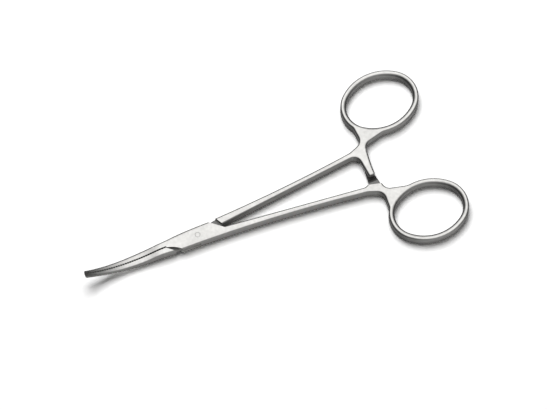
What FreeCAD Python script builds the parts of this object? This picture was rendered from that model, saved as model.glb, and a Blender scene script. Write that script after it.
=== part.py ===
import FreeCAD, Part
import math
import os
import re

import Sketcher

# Curved hemostat forceps, 14 cm, closed and lying flat with its tips curving up.
# The origin is on the axis of the box lock at the flat underside.
# +X runs towards the finger rings, the jaws point to -X, and +Z is up.
# Both halves come from one forging, mirrored: in the plan of a half its ring is
# on the +Y side and its jaw on the -Y side. The through half keeps that plan,
# and the box half is its mirror image in the XZ plane.

doc = FreeCAD.newDocument("hemostat_forceps")

# Driving dimensions in millimetres and degrees: name, value, what it is.
DIMENSIONS = [
    ("body_height", 5.3, "thickness of box, shanks and rings"),
    ("edge_round", 0.75, "rounding of the long edges of shanks and rings"),
    ("hole_edge_round", 1.2, "rounding of the edges of the finger holes"),
    ("jaw_edge_round", 0.8, "rounding of the long edges of box and jaws"),
    ("jaw_reach", 44.3, "pin axis to jaw tips"),
    ("jaw_root", 12.5, "pin axis to the root of the jaws"),
    ("jaw_tip_width", 1.3, "width of one jaw at its tip"),
    ("jaw_fore_share", 0.767, "outline control point near the tip, as a share of the jaw's reach"),
    ("jaw_fore_width", 1.7, "its distance from the middle plane"),
    ("jaw_mid_share", 0.497, "outline control point half way along the jaw, as such a share"),
    ("jaw_mid_width", 2.5, "its distance from the middle plane"),
    ("jaw_root_width", 2.2, "distance of the control point at the jaw root"),
    ("box_shoulder_place", 6.0, "outline control point at the box shoulder"),
    ("box_shoulder_bulge", 0.1, "that point outside the side of the box"),
    ("jaw_tip_gap", 0.14, "gap between the closed jaws at the tips"),
    ("jaw_root_gap", 0.56, "gap between the closed jaws at their root"),
    ("jaw_tip_round", 0.85, "rounding of the tip in plan"),
    ("jaw_curve_share", 0.298, "start of the curve in side view, as such a share"),
    ("jaw_low_share", 0.564, "lowest point of the jaw back, as such a share"),
    ("jaw_dip", 1.4, "drop of the jaw back at that point"),
    ("jaw_rise", 6.2, "rise of the jaw back from there to the tip"),
    ("jaw_belly_share", 0.361, "start of the rise of the underside, as such a share"),
    ("jaw_tip_height", 2.3, "upright height of a jaw at its tip"),
    ("serration_pitch", 0.9, "spacing of the grooves across a jaw face"),
    ("serration_width", 0.5, "width of those grooves"),
    ("serration_depth", 0.12, "depth of those grooves"),
    ("serration_start", 14.0, "pin axis to the first groove"),
    ("box_width", 6.5, "width of the box"),
    ("plate_thickness", 1.4, "thickness of each cheek of the box"),
    ("plate_jaw_end", 12.2, "end of the cheeks on the jaw side, at the middle"),
    ("plate_jaw_lap", 0.3, "cheek end past the middle plane there"),
    ("plate_jaw_corner", 7.0, "end of the cheeks on the jaw side, at the edge"),
    ("plate_jaw_hollow", 10.0, "radius of the hollow end of the cheeks on the jaw side"),
    ("plate_ring_end", 9.6, "end of the cheeks on the ring side, at the shank"),
    ("plate_ring_corner", 5.2, "end of the cheeks on the ring side, at the edge"),
    ("shoulder_jaw_inner", 12.6, "through half: jaw shoulder at the middle"),
    ("shoulder_jaw_outer", 9.9, "through half: jaw shoulder at the edge"),
    ("tenon_jaw_inset", 0.125, "lower tenon edge there inside the outer side of the jaw root"),
    ("shoulder_ring_inner", 10.1, "through half: shank shoulder at the middle"),
    ("shoulder_ring_outer", 8.5, "through half: shank shoulder at the edge"),
    ("tenon_inset", 0.15, "upper tenon edge inside the outer edge of the shank"),
    ("joint_clearance", 0.06, "gap between tenon and cheeks, each face"),
    ("side_clearance", 0.08, "gap between tenon and the walls of the box"),
    ("opening_angle", 60.0, "widest opening of the halves"),
    ("eye_radius", 2.1, "round eye of the tenon about the pin"),
    ("pin_diameter", 2.0, "box lock pin"),
    ("pin_clearance", 0.05, "radial running gap of the pin in the tenon"),
    ("pin_chamfer", 0.15, "broken edge of the pin ends"),
    ("shank_flare", 0.0308, "slope of the outer shank edge at the pin"),
    ("shank_bend", 629.0, "radius of the slight outward bow of the outer shank edge"),
    ("shank_root_width", 3.15, "width of a shank where it leaves the box"),
    ("shank_neck_width", 2.3, "width of a shank at the ring end"),
    ("shank_length", 67.0, "pin axis to the end of the shank, inside the neck"),
    ("ring_run", 15.4, "ring centre past the end of the shank"),
    ("ring_rise", 14.3, "ring centre beside the outer shank edge"),
    ("ring_length", 30.1, "outer length of a ring"),
    ("ring_breadth", 23.9, "outer breadth of a ring"),
    ("ring_band", 2.1, "width of the ring's bar"),
    ("ring_end_radius", 10.3, "radius of a ring's outline at the ends of its long axis"),
    ("ring_tilt", 3.6, "tilt of the long axis of a ring"),
    ("flare_run", 4.5, "start of the flare to the neck, before the shank's end"),
    ("flare_tuck", 0.42, "that start inside the outer shank edge"),
    ("flare_round", 8.0, "blend between shank and flare"),
    ("neck_run", 2.6, "corner of the neck past the shank's end"),
    ("neck_rise", 1.7, "corner of the neck beside the outer shank edge"),
    ("neck_round", 3.2, "blend in the corner of the neck"),
    ("neck_ring_drop", 4.2, "where the neck runs into the ring, below the ring centre"),
    ("neck_ring_tuck", 1.6, "depth of that point inside the end of the ring"),
    ("neck_ring_round", 2.0, "blend between neck and ring, outer side"),
    ("gusset_run", 4.05, "corner between arm and ring past the shank's end"),
    ("gusset_drop", 13.6, "that corner below the ring centre"),
    ("gusset_round", 3.0, "blend in that corner"),
    ("gusset_end_run", 1.9, "end of the edge from that corner to the ring, before its centre"),
    ("gusset_tuck", 0.65, "depth of that end inside the ring"),
    ("gusset_end_round", 6.0, "blend between that edge and the ring"),
    ("crotch_round", 2.8, "blend between shank and ratchet arm"),
    ("arm_tuck", 0.4, "depth to which the arm's outline starts inside the shank"),
    ("arm_overlap", 2.95, "ratchet arm's end beyond the middle plane"),
    ("arm_run", 1.4, "middle of the arm's end past the shank's end"),
    ("arm_end_width", 2.5, "width of the ratchet arm at its end"),
    ("arm_waist_rise", 2.0, "lower control point of the arm's bowed side"),
    ("arm_waist_inset", 0.15, "that point inside the side of the arm's end"),
    ("arm_bow_run", 3.6, "upper control point of the arm's bowed side past the shank's end"),
    ("arm_bow_drop", 1.6, "that point below the corner between arm and ring"),
    ("arm_end_round", 0.8, "rounding of the arm's corners in plan"),
    ("ratchet_gap", 0.06, "half the gap between the two rows of tooth tips"),
    ("tooth_pitch", 1.25, "spacing of the ratchet teeth"),
    ("tooth_depth", 0.65, "depth of the ratchet teeth"),
    ("tooth_count", 6, "number of ratchet teeth on each arm"),
    ("tooth_field_width", 6.5, "width cleared for the teeth, along the instrument"),
    ("upper_arm_root", 4.8, "through half: middle plane to the root of the raised arm"),
    ("lower_arm_drop", 0.2, "box half: step of the lowered arm below the inner shank edge"),
    ("lower_arm_slope", 0.25, "box half: slope of that step's line"),
    ("arm_field_start", 4.0, "start of the cleared arm field before the shank's end"),
    ("arm_field_end", 8.0, "end of the cleared arm field past the shank's end"),
    ("cut_margin", 1.0, "run of a cut past the metal that it clears"),
]

sizes = doc.addObject("Spreadsheet::Sheet", "sizes")
for row, (alias, number, meaning) in enumerate(DIMENSIONS, start=1):
    sizes.set(f"A{row}", meaning)
    sizes.set(f"B{row}", str(number))
    sizes.setAlias(f"B{row}", alias)
doc.recompute()
ALIASES = {alias for alias, number, meaning in DIMENSIONS}

# Distances below this count as none when edges are picked
TOLERANCE = 1e-6


def formula(text):
    """Point each alias in a formula at the sheet."""
    return re.sub(r"[a-z_]+", lambda word: "sizes." + word[0] if word[0] in ALIASES else word[0], text)


def number_of(text):
    """Value of a formula as a plain number."""
    return float(sizes.evalExpression(formula(text)))


def bind(thing, prop, text):
    """Set a property from a formula and keep it bound to the sheet."""
    thing.setExpression(prop, formula(text))


# Lines of the plan, as formulas for one half with its ring on the +Y side

def shank_edge(x):
    """Outer edge of the shank at the distance x from the pin axis."""
    return f"(box_width / 2 + ({x}) * shank_flare + ({x})^2 / (2 * shank_bend))"


def shank_slope(x):
    """Slope of that edge."""
    return f"(shank_flare + ({x}) / shank_bend)"


def jaw_face(x):
    """Place of the jaw face, which opens slightly from the tip to the root."""
    share = f"(({x} + jaw_reach) / (jaw_reach - jaw_root))"
    return f"({FACE_TIP} + ({FACE_ROOT} - {FACE_TIP}) * {share})"


# Height of the stock from which the curved jaw is cut
STOCK_HEIGHT = "(2 * body_height + jaw_reach / 10)"
NECK_OUTER = shank_edge("shank_length")
NECK_INNER = f"({NECK_OUTER} - shank_neck_width)"
FACE_TIP = "(-jaw_tip_gap / 2)"
FACE_ROOT = "(-jaw_root_gap / 2)"
RING_X = "(shank_length + ring_run)"
RING_Y = f"({NECK_OUTER} + ring_rise)"
ARM_X = "(shank_length + arm_run)"
# Corners where the tenon of the through half meets its shoulders
TENON_JAW_TOP = ("-shoulder_jaw_inner", FACE_ROOT)
TENON_JAW_BOTTOM = ("-shoulder_jaw_outer", "(tenon_jaw_inset - jaw_root_width / 2 - box_width / 4)")
TENON_RING_TOP = ("shoulder_ring_outer", f"({shank_edge('shoulder_ring_outer')} - tenon_inset)")
TENON_RING_BOTTOM = ("shoulder_ring_inner", f"({shank_edge('shoulder_ring_inner')} - shank_root_width)")


class Half:
    """One half of the forceps as a body; side is +1 for a ring at +Y and -1 for its mirror."""

    def __init__(self, name, side):
        self.body = doc.addObject("PartDesign::Body", name)
        self.body.Label = name
        self.name = name
        self.side = side

    def plane(self, role):
        return [item for item in self.body.Origin.OriginFeatures if item.Role == role][0]

    def mirrored(self, y):
        return y if self.side > 0 else f"-({y})"

    def sketch(self, name, role, height=None):
        made = self.body.newObject("Sketcher::SketchObject", f"{self.name}_{name}_outline")
        made.AttachmentSupport = [(self.plane(role), "")]
        made.MapMode = "FlatFace"
        if height is not None:
            bind(made, "AttachmentOffset.Base.z", height)
        return made

    def outline(self, name, corners, role="XY_Plane", height=None, arcs=None, curves=None):
        """Closed sketch through corners.

        arcs gives a radius formula and a side for each round edge, and curves
        gives the inner control points of each spline edge.
        """
        sketch = self.sketch(name, role, height)
        flip = self.side if role == "XY_Plane" else 1
        texts = corners
        if role == "XY_Plane":
            texts = [(x, self.mirrored(y)) for x, y in corners]
        if role == "YZ_Plane":
            texts = [(self.mirrored(y), z) for y, z in corners]
        points = [FreeCAD.Vector(number_of(x), number_of(y), 0) for x, y in texts]
        arcs = arcs or {}
        curves = curves or {}
        count = len(points)
        for index, start in enumerate(points):
            end = points[(index + 1) % count]
            if index in curves:
                inner = [(number_of(x), number_of(self.mirrored(y))) for x, y in curves[index]]
                poles = [start] + [FreeCAD.Vector(x, y, 0) for x, y in inner] + [end]
                spline = Part.BSplineCurve()
                knots = range(len(poles) - 2)
                repeats = [4] + [1] * (len(poles) - 4) + [4]
                spline.buildFromPolesMultsKnots(poles, repeats, [float(k) for k in knots], False, 3)
                sketch.addGeometry(spline)
            elif index in arcs:
                radius, bulge = arcs[index]
                chord = end - start
                left = FreeCAD.Vector(-chord.y, chord.x, 0).normalize()
                size = number_of(radius)
                rise = size - math.sqrt(size ** 2 - (chord.Length / 2) ** 2)
                middle = (start + end) / 2 + left * rise * bulge * flip
                # Sketch arcs run anticlockwise, so one that bulges to the left is drawn backwards
                first, last = (end, start) if bulge * flip > 0 else (start, end)
                sketch.addGeometry(Part.Arc(first, middle, last))
            else:
                sketch.addGeometry(Part.LineSegment(start, end))
        ends = []
        for index in range(count):
            edge = sketch.Geometry[index]
            forward = edge.StartPoint.distanceToPoint(points[index]) < TOLERANCE
            ends.append((1, 2) if forward else (2, 1))
        for index in range(count):
            following = (index + 1) % count
            sketch.addConstraint(
                Sketcher.Constraint("Coincident", index, ends[index][1], following, ends[following][0])
            )
        for index, (x, y) in enumerate(texts):
            for kind, text in (("DistanceX", x), ("DistanceY", y)):
                item = Sketcher.Constraint(kind, -1, 1, index, ends[index][0], number_of(text))
                place = sketch.addConstraint(item)
                bind(sketch, f"Constraints[{place}]", text)
        for index, (radius, bulge) in arcs.items():
            place = sketch.addConstraint(Sketcher.Constraint("Radius", index, number_of(radius)))
            bind(sketch, f"Constraints[{place}]", radius)
        for index, inner in curves.items():
            for order, (x, y) in enumerate(inner, start=1):
                self.hold_control_point(sketch, index, order, x, self.mirrored(y))
        return sketch

    def hold_control_point(self, sketch, spline, order, x, y):
        """Fix one control point of a spline at a place given by formulas."""
        centre = FreeCAD.Vector(number_of(x), number_of(y), 0)
        mark = sketch.addGeometry(Part.Circle(centre, FreeCAD.Vector(0, 0, 1), 1.0), True)
        kind = "InternalAlignment:Sketcher::BSplineControlPoint"
        sketch.addConstraint(Sketcher.Constraint(kind, mark, 3, spline, order))
        sketch.addConstraint(Sketcher.Constraint("Weight", mark, 1.0))
        for axis, text in (("DistanceX", x), ("DistanceY", y)):
            place = sketch.addConstraint(Sketcher.Constraint(axis, -1, 1, mark, 3, number_of(text)))
            bind(sketch, f"Constraints[{place}]", text)

    def oval(self, name, inset):
        """Ring outline of four tangent arcs about the ring centre, drawn in by inset."""
        long_half = "(ring_length / 2)"
        short_half = "(ring_breadth / 2)"
        shift = f"({long_half} - ring_end_radius)"
        side_radius = (f"(({shift}^2 + {short_half}^2 - ring_end_radius^2)"
                       f" / (2 * ({short_half} - ring_end_radius)))")
        between = f"({side_radius} - ring_end_radius)"
        along = f"({shift} + (ring_end_radius - {inset}) * {shift} / {between})"
        across = f"((ring_end_radius - {inset}) * ({side_radius} - {short_half}) / {between})"
        corners = []
        for u_sign, v_sign in (("", "-"), ("", ""), ("-", ""), ("-", "-")):
            u = f"{u_sign}{along}"
            v = f"{v_sign}{across}"
            corners.append((
                f"{RING_X} + ({u}) * cos(ring_tilt * 1 deg) - ({v}) * sin(ring_tilt * 1 deg)",
                f"{RING_Y} + ({u}) * sin(ring_tilt * 1 deg) + ({v}) * cos(ring_tilt * 1 deg)",
            ))
        end_arc = (f"ring_end_radius - {inset}", -1)
        side_arc = (f"{side_radius} - {inset}", -1)
        return self.outline(name, corners, arcs={0: end_arc, 1: side_arc, 2: end_arc, 3: side_arc})

    def circle(self, name, radius, height=None):
        """Circular sketch about the pin axis."""
        sketch = self.sketch(name, "XY_Plane", height)
        centre = FreeCAD.Vector(0, 0, 0)
        axis = FreeCAD.Vector(0, 0, 1)
        sketch.addGeometry(Part.Circle(centre, axis, number_of(radius)))
        sketch.addConstraint(Sketcher.Constraint("Coincident", 0, 3, -1, 1))
        place = sketch.addConstraint(Sketcher.Constraint("Radius", 0, number_of(radius)))
        bind(sketch, f"Constraints[{place}]", radius)
        return sketch

    def feature(self, kind, name, sketch, length=None, up=False, centred=False):
        """Pad or pocket; a pocket cuts downwards unless up is set, and through all without a length."""
        made = self.body.newObject(f"PartDesign::{kind}", f"{self.name}_{name}")
        made.Profile = sketch
        if length is None:
            made.Type = "ThroughAll"
        else:
            bind(made, "Length", length)
            made.Reversed = up
        if length is None or centred:
            made.SideType = "Symmetric"
        doc.recompute()
        if made.isValid() is False:
            raise RuntimeError(f"{made.Name} failed")
        return made

    def pad(self, name, sketch, length):
        return self.feature("Pad", name, sketch, length)

    def pocket(self, name, sketch, length=None, up=False, centred=False):
        before = self.body.Shape.Volume
        made = self.feature("Pocket", name, sketch, length, up, centred)
        if self.body.Shape.Volume >= before:
            raise RuntimeError(f"{made.Name} cuts nothing")
        return made

    def round_edges(self, name, radius, picked):
        """Fillet the edges of the tip feature for which picked says yes."""
        tip = self.body.Tip
        names = [f"Edge{i}" for i, edge in enumerate(tip.Shape.Edges, start=1) if picked(edge)]
        made = self.body.newObject("PartDesign::Fillet", f"{self.name}_{name}")
        made.Base = (tip, names)
        bind(made, "Radius", radius)
        doc.recompute()
        if made.isValid() is False:
            raise RuntimeError(f"{made.Name} failed")
        return made

    def repeat_backwards(self, name, feature, pitch, count):
        """Repeat a feature towards -X."""
        made = self.body.newObject("PartDesign::LinearPattern", f"{self.name}_{name}")
        made.Originals = [feature]
        made.Direction = (self.body.Origin.OriginFeatures[0], [""])
        made.Reversed = True
        bind(made, "Length", f"{pitch} * ({count} - 1)")
        bind(made, "Occurrences", count)
        self.body.Tip = made
        doc.recompute()
        if made.isValid() is False:
            raise RuntimeError(f"{made.Name} failed")

    def round_upright(self, name, radius, x, y):
        """Fillet the upright edge nearest to a plan point."""
        target = FreeCAD.Vector(number_of(x), self.side * number_of(y), 0)
        uprights = [edge for edge in self.body.Tip.Shape.Edges if is_upright(edge)]
        nearest = min(uprights, key=lambda edge: plan_distance(edge, target))
        return self.round_edges(name, radius, nearest.isSame)


def is_upright(edge):
    if len(edge.Vertexes) < 2:
        return False
    rise = edge.Vertexes[1].Point - edge.Vertexes[0].Point
    return math.hypot(rise.x, rise.y) < TOLERANCE * abs(rise.z)


def plan_distance(edge, target):
    point = edge.Vertexes[0].Point
    return math.hypot(point.x - target.x, point.y - target.y)


def forging(half):
    """Jaw, box, shank, neck, ratchet arm and ring in one outline, with its long edges rounded."""
    # Jaw, box and shank share one plan; the bowed outer edge is a parabola
    third = "((shank_length + plate_jaw_corner) / 3)"
    plan = half.outline("plan", [
        ("-jaw_reach", FACE_TIP),
        ("-jaw_reach", "-jaw_tip_width"),
        ("plate_ring_corner", "-box_width / 2"),
        ("plate_ring_end", f"{shank_edge('plate_ring_end')} - shank_root_width"),
        ("shank_length", NECK_INNER),
        ("shank_length", NECK_OUTER),
        ("-plate_jaw_corner", shank_edge("-plate_jaw_corner")),
        ("-plate_jaw_end", "plate_jaw_lap"),
        ("-jaw_root", FACE_ROOT),
    ], arcs={6: ("plate_jaw_hollow", 1)}, curves={1: [
        ("-jaw_fore_share * jaw_reach", "-jaw_fore_width"),
        ("-jaw_mid_share * jaw_reach", "-jaw_mid_width"),
        ("-jaw_root", "-jaw_root_width"),
        ("-box_shoulder_place", "-(box_width / 2 + box_shoulder_bulge)"),
    ], 5: [
        (f"shank_length - {third}", f"{NECK_OUTER} - {shank_slope('shank_length')} * {third}"),
        (f"-plate_jaw_corner + {third}",
         f"{shank_edge('-plate_jaw_corner')} + {shank_slope('-plate_jaw_corner')} * {third}"),
    ]})
    half.pad("plan", plan, STOCK_HEIGHT)

    # The back and the belly of the jaw are cut to its upward curve
    start_place = "(jaw_curve_share * jaw_reach)"
    low_place = "(jaw_low_share * jaw_reach)"
    belly_place = "(jaw_belly_share * jaw_reach)"
    low = "(body_height - jaw_dip)"
    curve = f"(((jaw_reach - {low_place})^2 + jaw_rise^2) / (2 * jaw_rise))"
    turn = f"(2 * atan(jaw_dip / ({low_place} - {start_place})))"
    first_radius = f"(({low_place} - {start_place}) / sin({turn}) - {curve})"
    beyond = "(jaw_reach + cut_margin)"
    back_end = f"({low} + {curve} - sqrt({curve}^2 - ({beyond} - {low_place})^2))"
    sky = f"({STOCK_HEIGHT} + body_height)"
    back = half.outline("jaw_back", [
        ("shank_length + cut_margin", "body_height"),
        (f"-{start_place}", "body_height"),
        (f"-{low_place} + {curve} * sin({turn})", f"{low} + {curve} * (1 - cos({turn}))"),
        (f"-{beyond}", back_end),
        (f"-{beyond}", sky),
        ("shank_length + cut_margin", sky),
    ], role="XZ_Plane", arcs={1: (first_radius, -1), 2: (curve, 1)})
    half.pocket("jaw_back", back)
    belly_run = f"({beyond} - {belly_place})"
    belly_rise = f"({back_end} - jaw_tip_height)"
    belly_radius = f"(({belly_run}^2 + {belly_rise}^2) / (2 * {belly_rise}))"
    belly = half.outline("jaw_belly", [
        (f"-{belly_place}", "0"),
        (f"-{beyond}", belly_rise),
        (f"-{beyond}", "-cut_margin"),
        (f"-{belly_place}", "-cut_margin"),
    ], role="XZ_Plane", arcs={0: (belly_radius, 1)})
    half.pocket("jaw_belly", belly)

    half.round_edges("jaw_edges", "jaw_edge_round", lambda edge: is_jaw_edge(half, edge))
    half.pocket("tip", half.outline("tip", [
        ("-jaw_reach", "jaw_tip_round - jaw_tip_width"),
        ("jaw_tip_round - jaw_reach", "-jaw_tip_width"),
        ("jaw_tip_round - jaw_reach", "-jaw_tip_width - cut_margin"),
        (f"-{beyond}", "-jaw_tip_width - cut_margin"),
        (f"-{beyond}", "jaw_tip_round - jaw_tip_width"),
    ], arcs={0: ("jaw_tip_round", -1)}), STOCK_HEIGHT, up=True)

    # Ratchet arm, and the neck that carries the ring
    arm_left = f"({ARM_X} - arm_end_width / 2)"
    arm_right = f"({ARM_X} + arm_end_width / 2)"
    flare_start = "(shank_length - flare_run)"
    gusset = ("shank_length + gusset_run", f"{RING_Y} - gusset_drop")
    gusset_end = (f"{RING_X} - gusset_end_run", f"{RING_Y} - ring_breadth / 2 + gusset_tuck")
    arm = half.outline("arm", [
        (arm_left, "-arm_overlap"),
        (arm_right, "-arm_overlap"),
        gusset,
        gusset_end,
        (f"{RING_X} - ring_length / 2 + neck_ring_tuck", f"{RING_Y} - neck_ring_drop"),
        ("shank_length + neck_run", f"{NECK_OUTER} + neck_rise"),
        (flare_start, f"{shank_edge(flare_start)} - flare_tuck"),
        ("shank_length - 2 * arm_tuck", f"{NECK_INNER} + arm_tuck"),
    ], curves={1: [
        (f"{arm_right} - arm_waist_inset", "arm_waist_rise"),
        ("shank_length + arm_bow_run", f"{gusset[1]} - arm_bow_drop"),
    ]})
    half.pad("arm", arm, "body_height")
    half.pad("ring", half.oval("ring", "0"), "body_height")

    # Blends in plan, then the finger hole, then the rounded long edges
    half.round_upright("flare_blend", "flare_round", f"({flare_start} + shank_length) / 2", NECK_OUTER)
    half.round_upright("neck_blend", "neck_round", "shank_length + neck_run", f"{NECK_OUTER} + neck_rise")
    half.round_upright("ring_blend", "neck_ring_round", "shank_length + neck_run",
                       f"{RING_Y} - neck_ring_drop - ring_band")
    half.round_upright("gusset_blend", "gusset_round", *gusset)
    half.round_upright("gusset_end_blend", "gusset_end_round",
                       f"{gusset_end[0]} - ring_band", gusset_end[1])
    half.round_upright("crotch_blend", "crotch_round", "shank_length", NECK_INNER)
    half.round_upright("arm_end_left", "arm_end_round", arm_left, "-arm_overlap")
    half.round_upright("arm_end_right", "arm_end_round", arm_right, "-arm_overlap")
    half.pocket("finger_hole", half.oval("finger_hole", "ring_band"))
    half.round_edges("shank_edges", "edge_round", lambda edge: is_shank_edge(half, edge))
    half.round_edges("hole_edges", "hole_edge_round", lambda edge: is_hole_edge(half, edge))

    # Grooves across the jaw face
    groove = half.outline("groove", [
        ("-serration_start - serration_width / 2", "0"),
        ("-serration_start - serration_width / 2", jaw_face("-serration_start")),
        ("-serration_start", f"{jaw_face('-serration_start')} - serration_depth"),
        ("-serration_start + serration_width / 2", jaw_face("-serration_start")),
        ("-serration_start + serration_width / 2", "0"),
    ])
    groove = half.pocket("groove", groove, STOCK_HEIGHT, up=True)
    serrations = "(floor((jaw_reach - serration_start) / serration_pitch))"
    half.repeat_backwards("grooves", groove, "serration_pitch", serrations)
    return half


def edge_points(half, edge):
    """End points and middle of an edge, in the plan of a half with its ring at +Y."""
    middle = edge.valueAt((edge.FirstParameter + edge.LastParameter) / 2)
    points = [vertex.Point for vertex in edge.Vertexes] + [middle]
    return [FreeCAD.Vector(point.x, half.side * point.y, point.z) for point in points]


def is_jaw_edge(half, edge):
    """Top and bottom edges of the outer side of box and jaw, round to the tip."""
    points = edge_points(half, edge)
    outer = all(point.y < -number_of("jaw_root_gap") for point in points)
    before = all(point.x < number_of("plate_ring_corner") + TOLERANCE for point in points)
    return outer and before and isinstance(edge.Curve, Part.BSplineCurve) and not is_upright(edge)


def is_hole_edge(half, edge):
    """Top and bottom edges of the finger hole, inside the middle line of the ring's bar."""
    if is_upright(edge):
        return False
    tilt = math.radians(number_of("ring_tilt"))
    long_half = number_of("(ring_length - ring_band) / 2")
    short_half = number_of("(ring_breadth - ring_band) / 2")
    for point in edge_points(half, edge):
        dx = point.x - number_of(RING_X)
        dy = point.y - number_of(RING_Y)
        u = dx * math.cos(tilt) + dy * math.sin(tilt)
        v = dy * math.cos(tilt) - dx * math.sin(tilt)
        if math.hypot(u / long_half, v / short_half) > 1:
            return False
    return True


def is_shank_edge(half, edge):
    """Top and bottom edges of shank, neck, arm and ring."""
    if is_upright(edge):
        return False
    points = edge_points(half, edge)
    top = number_of("body_height")
    if any(min(abs(point.z), abs(point.z - top)) > TOLERANCE for point in points):
        return False
    if is_hole_edge(half, edge):
        return False
    beyond_box = all(point.x > number_of("plate_ring_end") - TOLERANCE for point in points)
    outer_side = isinstance(edge.Curve, Part.BSplineCurve) and all(
        point.y > number_of("box_width") / 4 for point in points)
    return beyond_box or outer_side


def past(first, second):
    """Point on the line from first through second, beyond it by twice their distance."""
    places = []
    for one, two in zip(first, second):
        places.append(f"(({two}) + (({two}) - ({one})) * 2)")
    return tuple(places)


JAW_LINE_HIGH = past(TENON_JAW_BOTTOM, TENON_JAW_TOP)
JAW_LINE_LOW = past(TENON_JAW_TOP, TENON_JAW_BOTTOM)
RING_LINE_HIGH = past(TENON_RING_BOTTOM, TENON_RING_TOP)
RING_LINE_LOW = past(TENON_RING_TOP, TENON_RING_BOTTOM)
CHEEK_CUT = "(plate_thickness + joint_clearance)"
CORE_HEIGHT = f"(body_height - 2 * {CHEEK_CUT})"
SLOT_HEIGHT = "(body_height - 2 * plate_thickness)"


def mill_tenon(half):
    """Cut the through half down to a slim tenon with a round eye between the cheeks."""
    field = [JAW_LINE_HIGH, JAW_LINE_LOW, RING_LINE_LOW, RING_LINE_HIGH]
    half.pocket("upper_side", half.outline("upper_side", [
        TENON_JAW_TOP, TENON_RING_TOP, RING_LINE_HIGH, JAW_LINE_HIGH]))
    half.pocket("lower_side", half.outline("lower_side", [
        TENON_JAW_BOTTOM, TENON_RING_BOTTOM, RING_LINE_LOW, JAW_LINE_LOW]))
    half.pocket("top_recess", half.outline("top_recess", field, height="body_height"), CHEEK_CUT)
    half.pocket("bottom_recess", half.outline("bottom_recess", field), CHEEK_CUT, up=True)
    half.pad("eye", half.circle("eye", "eye_radius", CHEEK_CUT), CORE_HEIGHT)
    half.pocket("pin_hole", half.circle("pin_hole", "pin_diameter / 2 + pin_clearance"))


def slope_of(first, second):
    """Angle of the line from first to second."""
    return f"atan((({second[1]}) - ({first[1]})) / (({second[0]}) - ({first[0]})))"


def cut_box(half):
    """Cut the slot through the box half in which the tenon swings from closed to wide open."""
    upper = slope_of(TENON_JAW_TOP, TENON_RING_TOP)
    lower = slope_of(TENON_JAW_BOTTOM, TENON_RING_BOTTOM)
    x, y = TENON_JAW_TOP
    upper_offset = f"(({y}) * cos({upper}) - ({x}) * sin({upper}) + side_clearance)"
    x, y = TENON_RING_BOTTOM
    lower_offset = f"(({x}) * sin({lower}) - ({y}) * cos({lower}) + side_clearance)"
    swing = "(opening_angle * 1 deg)"
    reach = "(plate_jaw_end + plate_jaw_corner)"
    corners = []
    for offset, angle, turn in ((upper_offset, upper, "90 deg"), (lower_offset, lower, "-90 deg")):
        distance = f"({offset} / cos({swing} / 2))"
        towards = f"({angle} + {turn} + {swing} / 2)"
        corners.append((f"({distance} * cos({towards}))", f"({distance} * sin({towards}))"))
    above, below = corners
    upper_open = f"({upper} + {swing})"
    lower_open = f"({lower} + {swing})"
    places = [
        above,
        (f"{above[0]} + {reach} * cos({upper_open})", f"{above[1]} + {reach} * sin({upper_open})"),
        (f"{below[0]} + {reach} * cos({lower})", f"{below[1]} + {reach} * sin({lower})"),
        below,
        (f"{below[0]} - {reach} * cos({lower_open})", f"{below[1]} - {reach} * sin({lower_open})"),
        (f"{above[0]} - {reach} * cos({upper})", f"{above[1]} - {reach} * sin({upper})"),
    ]
    # The tenon belongs to the other half, so its lines are mirrored into this half's plan
    slot = half.outline("slot", [(x, f"-({y})") for x, y in places], height="plate_thickness")
    half.pocket("slot", slot, SLOT_HEIGHT, up=True)
    room = half.circle("eye_room", "eye_radius + side_clearance", "plate_thickness")
    half.pocket("eye_room", room, SLOT_HEIGHT, up=True)
    half.pocket("pin_hole", half.circle("pin_hole", "pin_diameter / 2"))


def cut_ratchet(half, raised):
    """Leave the upper or the lower part of the ratchet arm, and cut its row of teeth."""
    start = "shank_length - arm_field_start"
    end = "shank_length + arm_field_end"
    low_side = "-arm_overlap - cut_margin"
    if raised:
        field = [(start, low_side), (end, low_side), (end, "upper_arm_root"), (start, "upper_arm_root")]
        level = "(body_height / 2 + ratchet_gap)"
        half.pocket("arm_underside", half.outline("arm_underside", field), level, up=True)
        root = f"({level} + tooth_depth)"
        free = "(body_height / 2 - tooth_depth)"
    else:
        step_start = f"{NECK_INNER} - lower_arm_drop - arm_field_start * lower_arm_slope"
        step_end = f"{NECK_INNER} - lower_arm_drop + arm_field_end * lower_arm_slope"
        field = [(start, low_side), (end, low_side), (end, step_end), (start, step_start)]
        level = "(body_height / 2 - ratchet_gap)"
        depth = f"body_height - {level}"
        half.pocket("arm_top", half.outline("arm_top", field, height="body_height"), depth)
        root = f"({level} - tooth_depth)"
        free = "(body_height / 2 + tooth_depth)"
    teeth = [("-arm_overlap", free)]
    for count in range(int(number_of("tooth_count"))):
        teeth.append((f"-arm_overlap + {count} * tooth_pitch", root))
        teeth.append((f"-arm_overlap + {count + 1} * tooth_pitch", level))
    teeth.append(("-arm_overlap + tooth_count * tooth_pitch", free))
    saw = half.outline("teeth", teeth, role="YZ_Plane", height=ARM_X)
    half.pocket("teeth", saw, "tooth_field_width", centred=True)


def box_lock_pin():
    """Cylinder through both halves, flush with the cheeks, its edges broken."""
    body = doc.addObject("PartDesign::Body", "box_lock_pin")
    body.Label = "box_lock_pin"
    stock = body.newObject("PartDesign::AdditiveCylinder", "box_lock_pin_stock")
    bind(stock, "Radius", "pin_diameter / 2")
    bind(stock, "Height", "body_height")
    doc.recompute()
    ends = [f"Edge{i}" for i, edge in enumerate(stock.Shape.Edges, start=1) if edge.isClosed()]
    chamfer = body.newObject("PartDesign::Chamfer", "box_lock_pin_chamfer")
    chamfer.Base = (stock, ends)
    bind(chamfer, "Size", "pin_chamfer")
    doc.recompute()
    return body


through_half = forging(Half("through_half", 1))
mill_tenon(through_half)
cut_ratchet(through_half, raised=True)

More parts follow.
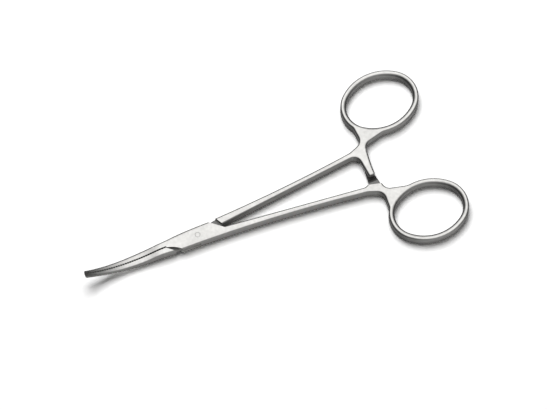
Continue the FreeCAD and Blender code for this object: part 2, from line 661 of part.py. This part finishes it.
box_half = forging(Half("box_half", -1))
cut_box(box_half)
cut_ratchet(box_half, raised=False)

NODES = [box_half.body, box_lock_pin(), through_half.body]
doc.recompute()

for item in doc.Objects:
    if "Invalid" in item.State or "Error" in item.State:
        raise RuntimeError(f"{item.Label} is in the state {item.State}")
for node in NODES:
    if node.Shape.isNull() or not node.Shape.isValid() or len(node.Shape.Solids) != 1:
        raise RuntimeError(f"{node.Label} is not one valid solid")

os.makedirs("parts", exist_ok=True)
for node in NODES:
    node.Shape.exportStep(f"parts/{node.Label}.step")
    print(node.Label, round(node.Shape.Volume, 1), node.Shape.BoundBox)
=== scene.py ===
import math

import bpy
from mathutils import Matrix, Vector


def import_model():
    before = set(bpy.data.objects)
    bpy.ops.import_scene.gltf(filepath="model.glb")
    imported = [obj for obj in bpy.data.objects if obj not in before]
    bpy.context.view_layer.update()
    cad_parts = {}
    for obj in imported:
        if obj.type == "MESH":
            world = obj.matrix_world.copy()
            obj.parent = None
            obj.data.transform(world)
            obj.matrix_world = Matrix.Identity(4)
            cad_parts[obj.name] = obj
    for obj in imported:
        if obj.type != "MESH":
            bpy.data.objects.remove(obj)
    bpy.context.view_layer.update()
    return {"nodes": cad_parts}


# The scene is in metres
MM = 0.001

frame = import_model()

# Camera: the photo is 547 pixels wide and was taken from a long way off.
# Sensor, distance and target are in millimetres, the clip range is in metres.
PHOTO_WIDTH = 547
SENSOR = 36.0
PIXELS_PER_MM = 2.72
CAMERA_DISTANCE = 1500
CAMERA_AZIMUTH = math.radians(22.55)
CAMERA_ELEVATION = math.radians(69.0)
CAMERA_TARGET = Vector((30.16, 0.05, 5.3))
CLIP_RANGE = (0.01, 20.0)

# Satin steel: tones of level faces, of upright walls with painted shade, of milled recesses with painted
# shade, and of the pin
STEEL_TONE = 0.56
SHADED_WALL_TONE = 0.195
RECESS_SHADE_TONE = 0.16
PIN_TONE = 0.55
WARMTH = (1.0, 0.992, 0.968)
ROUGHNESS = 0.62

# A face goes from the painted shade of walls to the tone of level faces while the upright part of its
# normal grows over this range
LEVEL_TURN = (0.78, 0.99)
# Level faces gain a painted highlight where they lean towards -Y
HIGHLIGHT_TURN = (-0.4, -0.05)
PAINTED_HIGHLIGHT = 1.3
# Painted shade: walls lose tone where they face along X, and from their shoulder down to their foot
SIDE_TURN = (0.35, 0.9)
SIDE_SHADE_SHARE = 0.35
BODY_HEIGHT = 5.3 * MM
FOOT_SHADE_SHARE = 0.8
SHOULDER_SHARE = 1.3
# Painted shade on roundings: they keep only this share of the tone where they lean along X or towards +Y.
# Those of the pin keep it all.
EDGE_TURN = (0.1, 0.6)
EDGE_RISE = (0.1, 0.5)
EDGE_SHADE_SHARE = 0.3
PIN_EDGE_SHADE_SHARE = 1.0

# Painted shade in milled recesses: level faces between two heights, behind the jaw root, but not along
# the slot
RECESS_BOTTOM = 0.9 * MM
RECESS_TOP = 4.3 * MM
SLOT_MIDDLE = -2.25 * MM
SLOT_REACH = 5.25 * MM
JAW_ROOT = -12.7 * MM
# Painted shade: the jaws lose tone from their root to their tip
JAW_TIP = -50 * MM
TIP_SHADE_SHARE = 0.72

# Fine grain and soft streaks along X: scale, detail and stretch of the noise,
# and the shares of the tone that its usual range gives
NOISE_RANGE = (0.3, 0.7)
GRAIN = (900.0, 3.0, (1, 1, 1))
GRAIN_SHARES = (0.93, 1.06)
STREAKS = (260.0, 2.0, (0.3, 1, 1))
STREAK_SHARES = (0.94, 1.05)
BUMP_STRENGTH = 0.04
BUMP_HEIGHT = 0.05 * MM

# World and floor are white to rays that see them, also in metal and glass, and dimmer to all others.
# The lamp's distance is in millimetres, the sizes of lamp and floor are in metres.
WHITE = (1.0, 1.0, 1.0)
WORLD_SEEN = 1.0
WORLD_LEVEL = 0.04
FLOOR_TONE = 2.85
FLOOR_BOUNCE = 0.6
FLOOR_SIZE = 8.0
FLOOR_DEPTH = 0.05 * MM
KEY_POWER = 4.2
KEY_SIZE = 0.6
KEY_DISTANCE = 1000
KEY_AZIMUTH = math.radians(5)
KEY_ELEVATION = math.radians(70)


def towards(azimuth, elevation):
    """Direction with an azimuth from +Y towards +X and an elevation above the floor."""
    level = math.cos(elevation)
    return Vector((math.sin(azimuth) * level, math.cos(azimuth) * level, math.sin(elevation)))


def place_in_scene(name, data, place, look):
    """Object at a place in millimetres that looks in a direction."""
    made = bpy.data.objects.new(name, data)
    made.location = place * MM
    made.rotation_euler = look.to_track_quat("-Z", "Y").to_euler()
    bpy.context.collection.objects.link(made)
    return made


def camera():
    """Look down at the instrument from the photo's angle."""
    data = bpy.data.cameras.new("camera")
    data.sensor_width = SENSOR
    data.lens = PIXELS_PER_MM * CAMERA_DISTANCE * SENSOR / PHOTO_WIDTH
    data.clip_start, data.clip_end = CLIP_RANGE
    look = towards(CAMERA_AZIMUTH, -CAMERA_ELEVATION)
    made = place_in_scene("camera", data, CAMERA_TARGET - look * CAMERA_DISTANCE, look)
    bpy.context.scene.camera = made


def key_lamp():
    """Wide lamp high above the instrument, a little beyond it."""
    data = bpy.data.lights.new("key_lamp", "AREA")
    data.energy = KEY_POWER
    data.size = KEY_SIZE
    direction = towards(KEY_AZIMUTH, KEY_ELEVATION)
    place_in_scene("key_lamp", data, CAMERA_TARGET + direction * KEY_DISTANCE, -direction)


class Nodes:
    """Short way to add nodes to a material or world and join them."""

    def __init__(self, owner):
        self.owner = owner
        owner.use_nodes = True
        self.tree = owner.node_tree

    def add(self, kind, **settings):
        node = self.tree.nodes.new(kind)
        for key, value in settings.items():
            setattr(node, key, value)
        return node

    def link(self, output, target):
        self.tree.links.new(output, target)

    def parts(self, vector):
        """X, Y and Z of a vector."""
        node = self.add("ShaderNodeSeparateXYZ")
        self.link(vector, node.inputs[0])
        return node.outputs["X"], node.outputs["Y"], node.outputs["Z"]

    def noise(self, scale, detail, stretch):
        """Noise that stays with the object."""
        place = self.add("ShaderNodeTexCoord")
        mapping = self.add("ShaderNodeMapping")
        mapping.inputs["Scale"].default_value = stretch
        self.link(place.outputs["Object"], mapping.inputs["Vector"])
        noise = self.add("ShaderNodeTexNoise")
        noise.inputs["Scale"].default_value = scale
        noise.inputs["Detail"].default_value = detail
        self.link(mapping.outputs["Vector"], noise.inputs["Vector"])
        return noise.outputs["Fac"]

    def ranged(self, value, old, new, smooth=False):
        """Carry a value from one range to another, and hold it at the ends."""
        node = self.add("ShaderNodeMapRange")
        if smooth:
            node.interpolation_type = "SMOOTHSTEP"
        for key, number in zip(("From Min", "From Max", "To Min", "To Max"), (*old, *new)):
            node.inputs[key].default_value = number
        self.link(value, node.inputs["Value"])
        return node.outputs["Result"]

    def math(self, operation, first, second=0):
        """Result of an operation on one or two values, each a number or an output."""
        node = self.add("ShaderNodeMath", operation=operation)
        for index, value in enumerate((first, second)):
            if isinstance(value, (int, float)):
                node.inputs[index].default_value = value
            else:
                self.link(value, node.inputs[index])
        return node.outputs[0]

    def product(self, first, *others):
        for other in others:
            first = self.math("MULTIPLY", first, other)
        return first

    def rest_of(self, share):
        """What a share leaves of one."""
        return self.math("SUBTRACT", 1.0, share)

    def seen(self, level, other):
        """One level for rays that see the background, also in metal and glass, and one for all others."""
        rays = self.add("ShaderNodeLightPath")
        direct = self.math("MAXIMUM", rays.outputs["Is Camera Ray"], rays.outputs["Is Glossy Ray"])
        direct = self.math("MAXIMUM", direct, rays.outputs["Is Transmission Ray"])
        return self.ranged(direct, (0, 1), (other, level))

    def tinted(self, value, tint):
        """Colour that is the tint times a value."""
        node = self.add("ShaderNodeCombineColor")
        for channel, share in zip(("Red", "Green", "Blue"), tint):
            self.link(self.product(value, share), node.inputs[channel])
        return node.outputs["Color"]


def steel(name, top_tone, shaded_wall_tone, edge_shade_share):
    """Satin steel with fine grain, painted shade on walls, some roundings, milled recesses and the jaws,
    and a painted highlight on level faces that lean towards -Y.
    """
    made = Nodes(bpy.data.materials.new(name))
    lean_x, lean_y, lean_z = made.parts(made.add("ShaderNodeNewGeometry").outputs["Normal"])
    x, _, z = made.parts(made.add("ShaderNodeTexCoord").outputs["Object"])
    rise = made.math("ABSOLUTE", lean_z)
    sideways = made.math("ABSOLUTE", lean_x)

    # Level faces with a painted highlight, and walls with painted shade
    level_share = made.ranged(rise, LEVEL_TURN, (0.0, 1.0), smooth=True)
    # Painted highlight on level faces that lean towards -Y
    highlit_top = made.ranged(lean_y, HIGHLIGHT_TURN, (top_tone * PAINTED_HIGHLIGHT, top_tone))
    # Painted shade on walls, darker where they face along X and towards their foot
    shaded_wall = made.product(
        made.ranged(sideways, SIDE_TURN, (shaded_wall_tone, shaded_wall_tone * SIDE_SHADE_SHARE)),
        made.ranged(z, (0, BODY_HEIGHT), (FOOT_SHADE_SHARE, SHOULDER_SHARE)),
    )
    tone = made.math("ADD", made.product(level_share, highlit_top), made.product(made.rest_of(level_share), shaded_wall))

    # Painted shade on roundings
    edge_shade = made.product(
        made.ranged(made.math("MAXIMUM", sideways, lean_y), EDGE_TURN, (0.0, 1.0 - edge_shade_share)),
        made.ranged(rise, EDGE_RISE, (0.0, 1.0)),
    )

    # Painted shade in milled recesses
    from_slot = made.math("ABSOLUTE", made.math("SUBTRACT", x, SLOT_MIDDLE))
    recess_shade = made.product(
        made.math("GREATER_THAN", z, RECESS_BOTTOM),
        made.math("LESS_THAN", z, RECESS_TOP),
        made.math("GREATER_THAN", x, JAW_ROOT),
        made.math("GREATER_THAN", from_slot, SLOT_REACH),
        level_share,
    )

    grain = made.noise(*GRAIN)
    streaks = made.noise(*STREAKS)
    # Painted shade on roundings, in milled recesses and towards the jaw tips, times random grain and
    # streaks
    tone = made.product(
        tone,
        made.rest_of(edge_shade),
        # Painted shade in milled recesses
        made.ranged(recess_shade, (0, 1), (1.0, RECESS_SHADE_TONE / STEEL_TONE)),
        # Painted shade towards the jaw tips
        made.ranged(x, (JAW_TIP, JAW_ROOT), (TIP_SHADE_SHARE, 1.0), smooth=True),
        made.ranged(grain, NOISE_RANGE, GRAIN_SHARES),
        made.ranged(streaks, NOISE_RANGE, STREAK_SHARES),
    )

    bump = made.add("ShaderNodeBump")
    bump.inputs["Strength"].default_value = BUMP_STRENGTH
    bump.inputs["Distance"].default_value = BUMP_HEIGHT
    made.link(grain, bump.inputs["Height"])
    shader = made.tree.nodes["Principled BSDF"]
    shader.inputs["Metallic"].default_value = 1.0
    shader.inputs["Roughness"].default_value = ROUGHNESS
    made.link(made.tinted(tone, WARMTH), shader.inputs["Base Color"])
    made.link(bump.outputs["Normal"], shader.inputs["Normal"])
    return made.owner


def floor():
    """White floor that keeps the shadows, just below the instrument."""
    bpy.ops.mesh.primitive_plane_add(size=FLOOR_SIZE, location=(0, 0, -FLOOR_DEPTH))
    plane = bpy.context.object
    plane.name = "floor"
    made = Nodes(bpy.data.materials.new("white_floor"))
    made.tree.nodes.remove(made.tree.nodes["Principled BSDF"])
    diffuse = made.add("ShaderNodeBsdfDiffuse")
    made.link(made.tinted(made.seen(FLOOR_TONE, FLOOR_BOUNCE), WHITE), diffuse.inputs["Color"])
    made.link(diffuse.outputs[0], made.tree.nodes["Material Output"].inputs["Surface"])
    plane.data.materials.append(made.owner)


def world():
    """White world that lights matt surfaces only a little."""
    made = Nodes(bpy.data.worlds.new("world"))
    background = made.tree.nodes["Background"]
    background.inputs["Color"].default_value = (*WHITE, 1.0)
    made.link(made.seen(WORLD_SEEN, WORLD_LEVEL), background.inputs["Strength"])
    bpy.context.scene.world = made.owner
    bpy.context.scene.view_settings.view_transform = "Standard"


camera()
world()
floor()
key_lamp()

satin_steel = steel("satin_steel", STEEL_TONE, SHADED_WALL_TONE, EDGE_SHADE_SHARE)
pin_steel = steel("pin_steel", PIN_TONE, PIN_TONE, PIN_EDGE_SHADE_SHARE)
materials_by_part = {"box_half": satin_steel, "through_half": satin_steel, "box_lock_pin": pin_steel}
for name, part_material in materials_by_part.items():
    mesh = frame["nodes"][name].data
    mesh.materials.clear()
    mesh.materials.append(part_material)
